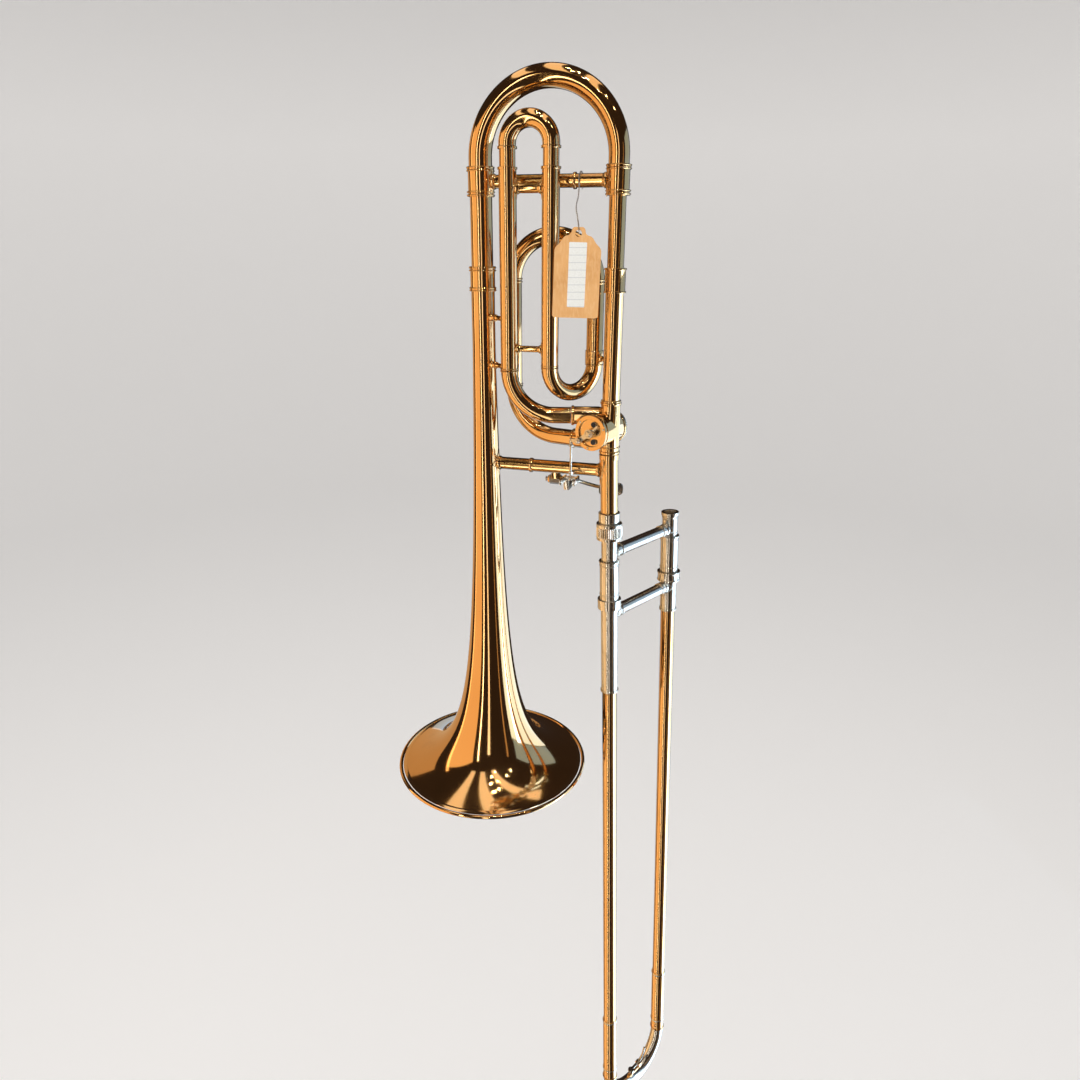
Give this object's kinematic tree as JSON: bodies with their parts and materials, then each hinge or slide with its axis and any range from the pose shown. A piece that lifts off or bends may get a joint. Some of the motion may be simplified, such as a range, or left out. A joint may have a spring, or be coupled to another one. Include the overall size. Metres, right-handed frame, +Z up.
{
  "type": "trombone",
  "caption": "Slide trombone with F attachment: flared bell, drawn tuning slide, thumb rotary valve and closed double-tube hand slide, hung bell down",
  "frame": {"origin": "centre of the bell's mouth, in the plane of the rim", "axes": "+Z up along the bell away from its mouth, +X from the bell to the neckpipe, -Y towards the valve's stop arm and the F slide"},
  "size_m": [0.3127, 0.2082, 1.2086],
  "materials": {
    "yellow_brass": "lacquered, polished",
    "bell_brass": "lacquered, polished, slightly redder",
    "nickel_silver": "polished nickel silver",
    "steel": "bright wire",
    "rubber": "matte",
    "card": "manila card"
  },
  "bodies": {
    "bell_section": {"bell_flare": "bell_brass", "bell_throat": "bell_brass", "bell_stem": "bell_brass", "rim_wire": "bell_brass", "bell_tuning_sleeve": "yellow_brass", "neckpipe": "yellow_brass", "valve_casing": "yellow_brass", "valve_back_cap": "nickel_silver", "valve_stop_plate": "yellow_brass", "bumper_upper": "rubber", "bumper_lower": "rubber", "gooseneck": "yellow_brass", "slide_receiver": "nickel_silver", "bell_brace": "yellow_brass", "f_elbow_upper": "yellow_brass", "f_elbow_lower": "yellow_brass", "f_leg_supply": "yellow_brass", "f_leg_return": "yellow_brass", "f_leg_inner": "yellow_brass", "f_leg_rear": "yellow_brass", "f_lower_bow": "yellow_brass", "f_upper_crook": "yellow_brass", "f_brace_upper": "yellow_brass", "f_brace_lower": "yellow_brass", "f_stay_upper": "yellow_brass", "f_stay_lower": "yellow_brass", "f_stay_neck": "yellow_brass", "trigger_mount": "yellow_brass", "trigger_pin": "steel"},
    "main_tuning_slide": {"tuning_bow": "bell_brass", "tuning_leg_bell": "yellow_brass", "tuning_leg_neck": "yellow_brass", "tuning_ferrule_bell": "yellow_brass", "tuning_ferrule_neck": "yellow_brass", "tuning_brace": "yellow_brass"},
    "f_tuning_slide": {"f_tuning_bow": "yellow_brass", "f_tuning_leg_supply": "yellow_brass", "f_tuning_leg_return": "yellow_brass"},
    "rotor": {"rotor": "yellow_brass", "stop_arm": "nickel_silver"},
    "link_rod": {"link_rod": "nickel_silver"},
    "trigger": {"trigger_lever": "nickel_silver"},
    "bell_lock_nut": {"bell_lock_nut": "nickel_silver"},
    "inner_slide": {"slide_tenon": "nickel_silver", "inner_tube_lower": "nickel_silver", "inner_tube_upper": "nickel_silver", "cork_barrel_lower": "nickel_silver", "cork_barrel_upper": "nickel_silver", "mouthpiece_receiver": "nickel_silver", "inner_brace": "nickel_silver"},
    "slide_lock_ring": {"slide_lock_ring": "nickel_silver"},
    "outer_slide": {"outer_tube_lower": "yellow_brass", "outer_tube_upper": "yellow_brass", "outer_brace": "nickel_silver", "slide_bow": "nickel_silver", "bow_bumper": "rubber", "water_key_mount": "yellow_brass"},
    "water_key": {"water_key": "nickel_silver"},
    "tag": {"tag_card": "card", "tag_wire": "steel"}
  },
  "joints": [
    {"name": "main_tuning_slide_travel", "type": "slide", "parent": "bell_section", "child": "main_tuning_slide", "axis": [0, 0, 1], "range_m": [-0.057, 0.03]},
    {"name": "f_tuning_slide_travel", "type": "slide", "parent": "bell_section", "child": "f_tuning_slide", "axis": [0, 0, 1], "range_m": [-0.013, 0.06]},
    {"name": "rotor_turn", "type": "hinge", "parent": "bell_section", "child": "rotor", "pos_m": [0.115, 0, 0.3845], "axis": [0.342, 0.9397, 0], "range_deg": [0, 90], "stiffness_Nm_per_rad": 0.02, "springref_deg": -45.84},
    {"name": "link_rod_pivot", "type": "hinge", "parent": "rotor", "child": "link_rod", "pos_m": [0.09642, -0.02303, 0.37728], "axis": [0.342, 0.9397, 0], "range_deg": [-90, 0]},
    {"name": "trigger_press", "type": "hinge", "parent": "bell_section", "child": "trigger", "pos_m": [0.084, 0.012, 0.329], "axis": [-1, 0, 0], "range_deg": [0, 27]},
    {"name": "bell_lock_nut_turn", "type": "hinge", "parent": "bell_section", "child": "bell_lock_nut", "pos_m": [0.12458, 0, 0.28504], "axis": [0.0349, 0, -0.9994], "continuous": true},
    {"name": "hand_slide_swivel", "type": "hinge", "parent": "bell_section", "child": "inner_slide", "pos_m": [0.12479, 0, 0.27905], "axis": [0.0349, 0, -0.9994], "range_deg": [-18, 18]},
    {"name": "slide_lock_turn", "type": "hinge", "parent": "inner_slide", "child": "slide_lock_ring", "pos_m": [0.17622, 0.08488, 0.2098], "axis": [0.0349, 0, -0.9994], "range_deg": [0, 30]},
    {"name": "hand_slide_travel", "type": "slide", "parent": "inner_slide", "child": "outer_slide", "axis": [0.0349, 0, -0.9994], "range_m": [0, 0.6]},
    {"name": "water_key_press", "type": "hinge", "parent": "outer_slide", "child": "water_key", "pos_m": [0.18115, 0.0511, -0.48985], "axis": [-0.8656, 0.4998, -0.0302], "range_deg": [0, 18], "stiffness_Nm_per_rad": 0.03, "springref_deg": -28.65},
    {"name": "tag_swing", "type": "hinge", "parent": "main_tuning_slide", "child": "tag", "pos_m": [0.09, 0, 0.597], "axis": [-1, 0, 0], "range_deg": [0, 55]}
  ],
  "couplings": [
    {"joint": "link_rod_pivot", "follows": "rotor_turn", "ratio": -1},
    {"joint": "trigger_press", "follows": "rotor_turn", "ratio": 0.2985}
  ]
}
